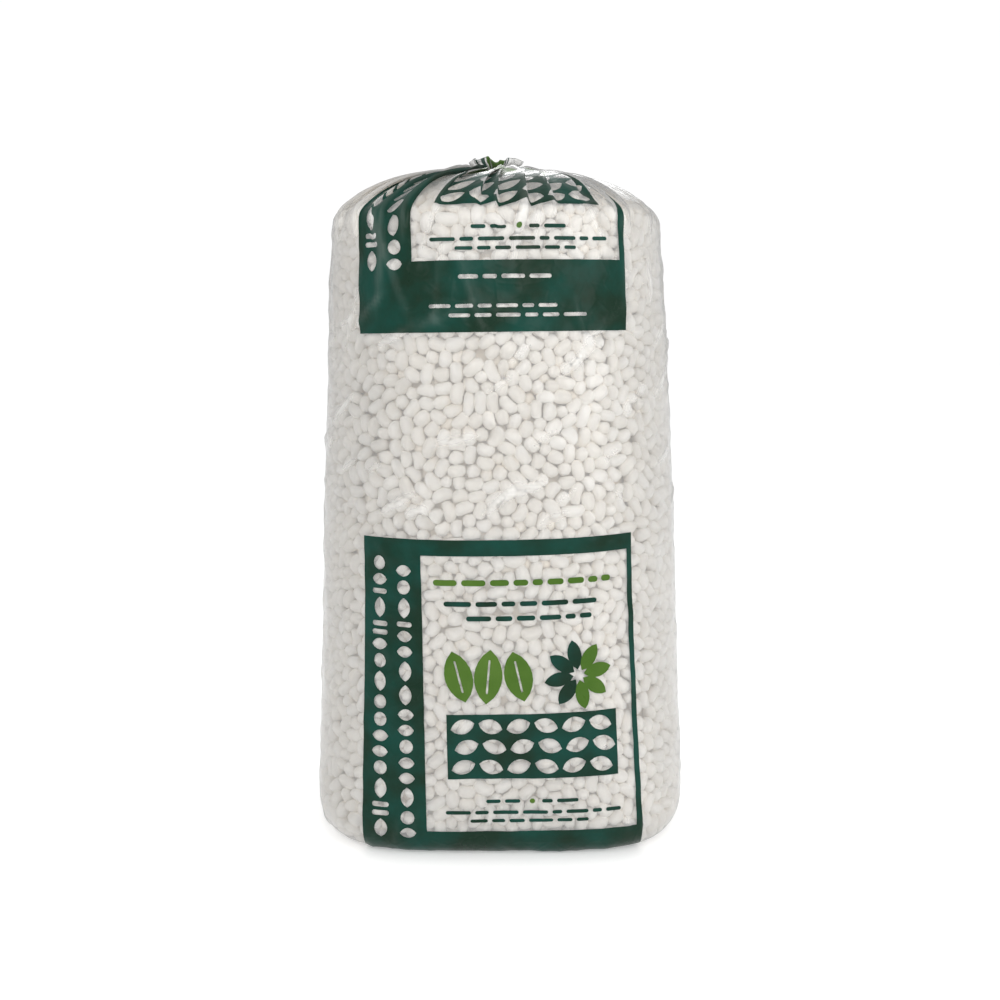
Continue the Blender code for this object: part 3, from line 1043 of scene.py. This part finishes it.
# %% The whole film: wall, dome, waist and ruffled tail
def ruffles(angle):
    """An uneven wave round the tail, from -1 to 1."""
    waves = ((0.45, 6, 0.6), (0.35, 9, 2.1), (0.20, 15, 0.0))
    wave = sum(high * np.sin(count * angle + start) for high, count, start in waves)
    return np.clip(wave * 1.25, -1, 1)


def collar(angle):
    """How far the pleats stand up in a ring round the tie, with a slope and a steep inner side."""
    t = row_t[:, None]
    rim = row_t[part_starts[3] - 1]
    outer = np.clip((t - (rim + COLLAR_FOOT)) / COLLAR_OUTER, 0, 1)
    inner = np.clip((body_t[-1] - t) / COLLAR_INNER, 0, 1)
    lobes = 0.80 + 0.13 * np.sin(5 * angle + 0.4) + 0.07 * np.sin(11 * angle + 1.3)
    return COLLAR_HEIGHT * lobes * outer * outer * (3 - 2 * outer) * inner**0.6


def film_table():
    film = table.copy()
    on_body = (np.arange(len(table)) < BODY_ROWS)[:, None]
    lift = pleat_lift.copy()
    for column in range(COLUMNS):
        slipped = body_t + pleat_slip[:BODY_ROWS, column]
        lift[:BODY_ROWS, column] += np.interp(slipped, body_t, body_height[:, column])
    moves = (normals, lift), (unit(around), pleat_shift), (unit(upward), pleat_slip)
    for way, distance in moves:
        film += way * (distance * on_body)[..., None]
    angle = np.arctan2(table[..., 0] - table[..., 0].mean(axis=1, keepdims=True), -table[..., 1])
    outward = np.stack([np.sin(angle), -np.cos(angle), np.zeros_like(angle)], axis=-1)
    share = np.clip((row_half - NECK_RADIUS) / (TAIL_HALF_WIDTH - NECK_RADIUS), 0, 1)[:, None]
    wave = ruffles(angle)
    push = (pleat - 0.5) * WAIST_PLEATS * (1 - share)
    push = push + wave * RUFFLE_PUSH * share - TAIL_DRAW * share
    droop = 0.004 + 0.007 * (1 + np.sin(3 * angle + 1.0)) / 2 + 0.005 * (1 + wave)
    film += outward * (push * ~on_body)[..., None]
    film[..., 2] += collar(angle) * on_body - droop * share**2 * ~on_body
    film[..., 2] = np.maximum(film[..., 2], 0.0)
    return film


film_points = film_table()
film_ends = film_points.reshape(-1, 3).min(0), film_points.reshape(-1, 3).max(0)
print("film reaches", np.round(film_ends, 4).tolist())

# %% [markdown]
# ## The print
# The print is ink on the outside of the film, in two greens: a dark frame with a wide band at
# the left, and plain shapes in its window. It repeats up the tube every 942 mm, so a second panel
# runs up over the shoulder into the pleats, and it sits about a degree askew. Each shape is an
# outline in the flat film. A triangulation that keeps the outlines as edges joins them with the
# film's grid, so the colour changes exactly on an outline and follows every fold. The highest
# shapes are broad and light, and all that shows of them is colour in the ruffles of the tail.

# %% Outlines of plain shapes, in metres on the flat print
CLEAR, DARK, LIGHT = 0, 1, 2


def box_shape(left, foot, right, top):
    return np.array([(left, foot), (right, foot), (right, top), (left, top)])


def turned(points, middle, angle):
    c, s = math.cos(math.radians(angle)), math.sin(math.radians(angle))
    return points @ np.array([[c, s], [-s, c]]) + np.array(middle)


def pill(middle, length, height, angle=0.0):
    """A bar with round ends."""
    r = height / 2
    run = max(length / 2 - r, 0.0)
    turns = np.radians(np.arange(-90, 91, 30))
    right = np.column_stack([run + r * np.cos(turns), r * np.sin(turns)])
    return turned(np.vstack([right, -right]), middle, angle)


def leaf(middle, length, width, angle=0.0):
    """A leaf, pointed at both ends, upright when its angle is 0."""
    up = np.linspace(-1, 1, 9)
    side = np.column_stack([width / 2 * (1 - up**2) ** 0.8, up * length / 2])
    return turned(np.vstack([side[:-1], -side[:-1]]), middle, angle)


def disc(middle, across):
    turns = np.radians(np.arange(0, 360, 24))
    return np.column_stack([np.cos(turns), np.sin(turns)]) * across / 2 + np.array(middle)


# %% The design of one panel
PRINT_HALF = 0.2395
BAND_INNER = -0.1275
BORDER_INNER = 0.2285
FIELD_FOOT = -0.061
WINDOW_FOOT = 0.0535
WINDOW_TOP = 0.519
PANEL_TOP = 0.5455
PRINT_PERIOD = 0.9424
MARK_SIZES = (0.0235, 0.034, 0.0085, 0.020)
MARK_GAP = 0.0058
print_rng = np.random.default_rng(5)


def bar_line(ink, height_up, left, right, tall):
    """A line of bars of uneven length, about as wide and dark as a line of small print."""
    shapes = []
    start = left
    while start < right - 0.012:
        length = min(print_rng.uniform(0.016, 0.046), right - start)
        shapes.append((ink, pill((start + length / 2, height_up), length, tall)))
        start += length + 0.007
    return shapes


def band_marks():
    """Two upright rows of cut-out leaves, dots and bars in the dark band."""
    shapes = []
    for middle, wide in ((-0.2065, 0.030), (-0.1595, 0.028)):
        up = 0.040
        while up < 0.505:
            kind = print_rng.integers(0, 4)
            size = MARK_SIZES[kind]
            place = (middle, up + size / 2)
            marks = (disc(place, size), leaf(place, size, 0.022),
                     pill(place, wide, size), leaf(place, wide, 0.019, 90))
            shapes.append((CLEAR, marks[kind]))
            up += size + MARK_GAP
    return shapes


def motifs():
    """A row of broad leaves, a two-tone flower, and a dark tile with leaf-shaped openings."""
    shapes = []
    for middle, tall, lean_angle in ((-0.068, 0.088, 14), (-0.019, 0.092, -6), (0.031, 0.086, 12)):
        shapes.append((LIGHT, leaf((middle, 0.3185), tall, 0.047, lean_angle)))
        shapes.append((CLEAR, pill((middle, 0.3185), tall * 0.62, 0.0032, 90 + lean_angle)))
    for petal in range(8):
        angle = 45 * petal + 10
        way = (-math.sin(math.radians(angle)), math.cos(math.radians(angle)))
        middle = (0.1315 + 0.034 * way[0], 0.3175 + 0.034 * way[1])
        shapes.append((DARK if petal < 4 else LIGHT, leaf(middle, 0.050, 0.024, angle)))
    shapes.append((DARK, box_shape(-0.090, 0.145, 0.197, 0.255)))
    for row, up in enumerate((0.1655, 0.2000, 0.2345)):
        for column in range(6):
            across = -0.0635 + 0.0462 * column + (0.006 if row == 1 else 0.0)
            shapes.append((CLEAR, leaf((across, up), 0.041, 0.0245, 90 + 16 * (-1) ** column)))
    return shapes


def panel_shapes():
    shapes = [(DARK, box_shape(-PRINT_HALF, FIELD_FOOT, PRINT_HALF, PANEL_TOP))]
    shapes.append((CLEAR, box_shape(BAND_INNER, WINDOW_FOOT, BORDER_INNER, WINDOW_TOP)))
    shapes += bar_line(LIGHT, 0.475, -0.107, 0.197, 0.0100)
    shapes += bar_line(DARK, 0.440, -0.090, 0.185, 0.0082)
    shapes += bar_line(DARK, 0.416, -0.053, 0.157, 0.0082)
    shapes += bar_line(DARK, 0.1065, -0.027, 0.030, 0.0062)
    shapes.append((LIGHT, disc((0.050, 0.1065), 0.009)))
    shapes += bar_line(DARK, 0.1065, 0.066, 0.137, 0.0062)
    shapes += bar_line(DARK, 0.0870, -0.095, 0.200, 0.0062)
    shapes += bar_line(DARK, 0.0725, -0.054, 0.163, 0.0058)
    return shapes + motifs() + band_marks()


def field_lines():
    """Pale lines in the upper field, as places in the lower one."""
    shapes = bar_line(CLEAR, 0.0276, -0.05, 0.104, 0.0068)
    shapes += bar_line(CLEAR, -0.0190, -0.10, 0.11, 0.0060)
    return shapes + bar_line(CLEAR, -0.0340, -0.067, 0.175, 0.0060)


def neck_marks():
    """Broad light shapes that end up in the gathered tail, as places in the lower panel."""
    light = [pill((0.055, 0.472), 0.190, 0.066), leaf((-0.085, 0.470), 0.080, 0.070)]
    dark = [pill((0.175, 0.480), 0.050, 0.050), pill((-0.030, 0.437), 0.090, 0.012)]
    return [(LIGHT, points) for points in light] + [(DARK, points) for points in dark]


def print_shapes(design, highest):
    """The panel twice, the upper one cut off at a height, and with pale lines in its field."""
    panel, lines = design
    shapes = list(panel)
    for ink, points in panel + lines:
        raised = points + np.array([0.0, PRINT_PERIOD])
        if raised[:, 1].min() < highest - 0.004:
            raised[:, 1] = np.minimum(raised[:, 1], highest)
            shapes.append((ink, raised))
    return shapes


# %% Place the print on the film's map
PRINT_SHIFT = 0.006
PRINT_LEAN = 0.018
PRINT_TILT = 0.0125


def on_film(points):
    u, v = points[:, 0], points[:, 1]
    return np.column_stack([u + PRINT_SHIFT - PRINT_LEAN * v, v + PRINT_TILT * u])


def without_doubles(points):
    """Drops points that are the same as the one before."""
    apart = np.linalg.norm(points - np.roll(points, 1, axis=0), axis=1)
    return points[apart > 1e-5]


def with_steps(points, longest=0.005):
    """Adds points along the sides, so that an outline follows the film's relief."""
    found = []
    for start, end in zip(points, np.roll(points, -1, axis=0)):
        count = max(1, math.ceil(np.linalg.norm(end - start) / longest))
        found += [start + (end - start) * step / count for step in range(count)]
    return np.array(found)


map_top = row_t[BODY_ROWS - 1]
design = panel_shapes(), field_lines() + neck_marks()
printed = print_shapes(design, map_top - 0.006)
outlines = [(ink, with_steps(without_doubles(on_film(points)))) for ink, points in printed]
whole_outlines = [(ink, on_film(points)) for ink, points in print_shapes(design, 9.0)]
print("print shapes", len(outlines), "map top", round(float(map_top), 4))


def ink_at(points):
    """The ink at each (s, t), by counting how often each outline is crossed to the right of it."""
    ink = np.zeros(len(points), int)
    for color, outline in whole_outlines:
        ends = np.roll(outline, -1, axis=0)
        inside = np.zeros(len(points), bool)
        for (x0, y0), (x1, y1) in zip(outline, ends):
            if y0 != y1:
                spans = (points[:, 1] < y0) != (points[:, 1] < y1)
                crossing = x0 + (points[:, 1] - y0) * (x1 - x0) / (y1 - y0)
                inside ^= spans & (points[:, 0] < crossing)
        ink[inside] = color
    return ink


# %% Triangles of the front, and the film's one mesh
ZONE_FOOT = int(np.searchsorted(row_t, -0.09))


def front_triangles():
    """Triangles of the printed front, their inks, and the (s, t) of the outlines' own points."""
    grid, names = [], []
    for row in range(ZONE_FOOT, BODY_ROWS):
        for column in range(FRONT_COLUMNS + 1):
            grid.append(Vector((front_s[column], row_t[row])))
            names.append(row * COLUMNS + column)
    points, loops = list(grid), []
    for _, outline in outlines:
        loops.append(list(range(len(points), len(points) + len(outline))))
        points += [Vector(map(float, place)) for place in outline]
    places, _, faces, sources, _, owners = delaunay_2d_cdt(points, [], loops, 0, 1e-5, True)
    added, final = [], []
    for place, source in zip(places, sources):
        known = [number for number in source if number < len(grid)]
        if known:
            final.append(names[known[0]])
        else:
            final.append(table.shape[0] * COLUMNS + len(added))
            added.append((place.x, place.y))
    inks = [outlines[max(owner)][0] if owner else CLEAR for owner in owners]
    return [[final[i] for i in face] for face in faces], inks, np.array(added)


def at_map(places, values):
    """The values of a table of the film at (s, t) on its front."""
    row = np.interp(places[:, 1], body_t, np.arange(BODY_ROWS))
    column = np.interp(places[:, 0], front_s, np.arange(FRONT_COLUMNS + 1))
    return read_between(values[:BODY_ROWS, : FRONT_COLUMNS + 1], row, column)


def grid_faces():
    """Squares of the film outside the printed front, with the ink of those above it."""
    faces, middles = [], []
    for row in range(len(table) - 1):
        for column in range(COLUMNS):
            if ZONE_FOOT <= row < BODY_ROWS - 1 and column < FRONT_COLUMNS:
                continue
            faces.append(ring_square(row, column, COLUMNS))
            s = column_s[column] + 0.003
            middle_t = (row_t[row] + row_t[row + 1]) / 2
            middles.append((s - GIRTH if s > GIRTH / 2 else s, middle_t))
    middles = np.array(middles)
    above = middles[:, 1] > map_top - 0.008
    inks = np.zeros(len(faces), int)
    inks[above] = ink_at(middles[above])
    return faces, list(inks)


def flat_places(added, faces, corners):
    """The (s, t) of each corner of each face, so that no face runs back across the seam."""
    flat = np.array([(s, t) for t in row_t for s in column_s])
    flat = np.vstack([flat, added, [(0.0, row_t[0]), (0.0, row_t[-1])]])[corners]
    owner = np.repeat(np.arange(len(faces)), [len(face) for face in faces])
    widest = np.zeros(len(faces))
    np.maximum.at(widest, owner, flat[:, 0])
    flat[:, 0] += GIRTH * (widest[owner] - flat[:, 0] > 1.0)
    return flat


def build_film(name, materials):
    triangles, triangle_inks, added = front_triangles()
    squares, square_inks = grid_faces()
    points = np.vstack([film_points.reshape(-1, 3), at_map(added, film_points)])
    caps = cap_faces(COLUMNS, (len(table) - 1) * COLUMNS, len(points), len(points) + 1)
    points = np.vstack([points, film_points[0].mean(0), film_points[-1].mean(0)])
    added_fold_glints = at_map(added, fold_glint_mark[..., None])[:, 0]
    fold_glint_values = np.concatenate([fold_glint_mark.ravel(), added_fold_glints, [0.0, 1.0]])
    faces = triangles + squares + caps
    inks = triangle_inks + square_inks + [CLEAR] * len(caps)
    corners = np.concatenate(faces)
    used = np.unique(corners)
    new_number = np.full(len(points), -1)
    new_number[used] = np.arange(len(used))
    mesh = bpy.data.meshes.new(name)
    mesh.from_pydata(points[used].tolist(), [], [new_number[face].tolist() for face in faces])
    for material in materials:
        mesh.materials.append(material)
    mesh.polygons.foreach_set("material_index", np.array(inks, np.int32))
    mesh.shade_smooth()
    # The mark of painted highlights and fold haze, read by the film and ink finishes.
    attribute = mesh.attributes.new("fold", "FLOAT", "POINT")
    attribute.data.foreach_set("value", fold_glint_values[used].astype(np.float32))
    flat = flat_places(added, faces, corners)
    unit_square = (flat + np.array([FRONT_HALF, 0.30])) / FILM_UV_SIZE
    layer = mesh.uv_layers.new(name="flat_film")
    layer.data.foreach_set("uv", unit_square.astype(np.float32).ravel())
    return put_in_scene(name, mesh)


# %% [markdown]
# ## Clear film and its inks
# Polyethylene film lets most light through. A few per cent scatter in it as a milky haze, and both
# its faces mirror the lamps at a low angle and wherever a crease turns towards them. So the
# material is a mix: mostly see-through with a little white, under a gloss whose share follows
# the Fresnel law. The white grows where the film's own mark says that it is folded or gathered:
# partly the real haze of folded and gathered film, partly painted highlights that stand for the
# glints of lamps on creases and pleat crests. A bump of fine crinkles breaks the gloss into small
# glints. The inks are the same glossy film made opaque, with faint mottling, as the ink layer
# isn't even, and they turn paler on the same mark, partly worn ink, partly painted glints.

# %% Film and ink materials
FILM_UV_SIZE = 2.2


def film_coordinates(tree):
    """The film's own flat map, in metres."""
    uv = add(tree, "ShaderNodeUVMap", uv_map="flat_film").outputs["UV"]
    sockets = {"Vector": uv, "Scale": (FILM_UV_SIZE, FILM_UV_SIZE, 1.0)}
    return add(tree, "ShaderNodeMapping", sockets).outputs["Vector"]


def crinkles(tree, place, strength=0.35):
    soft = add_bump(tree, add_noise(tree, place, 34.0, 2.0), strength, 0.004)
    sockets = {"Vector": place, "Scale": 26.0}
    cells = add(tree, "ShaderNodeTexVoronoi", sockets, feature="DISTANCE_TO_EDGE")
    edge_ramp = ((0.0, (1.0, 1.0, 1.0)), (0.10, (0.0, 0.0, 0.0)))
    edges = add_ramp(tree, cells.outputs["Distance"], edge_ramp)
    return add_bump(tree, edges, strength * 0.5, 0.0012, soft)


def make_clear_film():
    material, tree = new_material("clear_film_haze")
    place = film_coordinates(tree)
    normal = crinkles(tree, place)
    clear = add(tree, "ShaderNodeBsdfTransparent", {"Color": (0.985, 0.985, 0.98, 1.0)})
    milk = add(tree, "ShaderNodeBsdfDiffuse", {"Color": (0.86, 0.86, 0.85, 1.0)})
    cloud = add_range(tree, add_noise(tree, place, 9.0, 4.0), 0.215, 0.245)
    # Whiter film on the mark: partly the haze of folded film, partly painted highlights.
    fold_glint_share = add_range(tree, add_attribute(tree, "fold"), 0.0, 0.36)
    share = add(tree, "ShaderNodeMath", {0: cloud, 1: fold_glint_share}, operation="ADD").outputs[0]
    haze_and_glint = add(tree, "ShaderNodeMixShader", {0: share, 1: clear.outputs[0], 2: milk.outputs[0]})
    gloss = add(tree, "ShaderNodeBsdfGlossy", {"Roughness": 0.23, "Normal": normal})
    fresnel = add(tree, "ShaderNodeFresnel", {"IOR": 1.52, "Normal": normal})
    mirror = {0: fresnel.outputs[0], 1: haze_and_glint.outputs[0], 2: gloss.outputs[0]}
    show_surface(tree, add(tree, "ShaderNodeMixShader", mirror))
    return material


def make_ink(name, deep, bright):
    material, tree = new_material(name)
    place = film_coordinates(tree)
    mottle = add_noise(tree, place, 11.0, 5.0)
    color = add_ramp(tree, mottle, [(0.38, deep), (0.62, bright)])
    # Paler ink on the same mark: partly ink worn at creases, partly painted highlights standing for
    # lamp glints on folds.
    fold_glint_share = add_range(tree, add_attribute(tree, "fold"), 0.0, 0.10)
    color = add_mix(tree, fold_glint_share, color, (0.45, 0.50, 0.47))
    look = {"Base Color": color, "Normal": crinkles(tree, place)}
    look |= {"Roughness": add_range(tree, mottle, 0.22, 0.38), "Specular IOR Level": 0.13}
    show_surface(tree, add(tree, "ShaderNodeBsdfPrincipled", look))
    return material


clear_film = make_clear_film()
dark_ink = make_ink("dark_green_ink", (0.005, 0.023, 0.012), (0.003, 0.044, 0.032))
light_ink = make_ink("light_green_ink", (0.048, 0.112, 0.012), (0.070, 0.142, 0.020))
film_bag = build_film("printed_film", [clear_film, dark_ink, light_ink])
print("film faces", len(film_bag.data.polygons), "points", len(film_bag.data.vertices))

# %% [markdown]
# ## The wire tie
# The tie is a thin steel wire in a pale plastic coat, laid once round the waist of the film and
# twisted at the back. The CAD wire already has the right form, so it stays, with a satin finish
# whose fine ribs and smudges come from noise on its object coordinates.

# %% Coated wire
def make_wire():
    material, tree = new_material("coated_tie_wire")
    place = object_coordinates(tree)
    smudge = add_noise(tree, place, 90.0, 3.0)
    color = add_ramp(tree, smudge, [(0.3, (0.60, 0.60, 0.57)), (0.7, (0.78, 0.78, 0.75))])
    ribs = add_bump(tree, add_noise(tree, place, 900.0, 2.0), 0.3, 0.0004)
    look = {"Base Color": color, "Normal": ribs, "Roughness": 0.42}
    show_surface(tree, add(tree, "ShaderNodeBsdfPrincipled", look))
    return material


tie = frame["nodes"]["neck_tie"]
tie.data.materials.clear()
tie.data.materials.append(make_wire())

# %% [markdown]
# ## Hand the pieces to the frame
# Every piece rides on the one body. The film takes the place of the CAD film, and the peanuts
# and their core take the place of the CAD fill, which both stay hidden for collision.

# %% Finish
for piece in (*peanut_pieces, core):
    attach(piece, "root")
    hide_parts("peanut_fill")
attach(film_bag, "root")
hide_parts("film_bag")
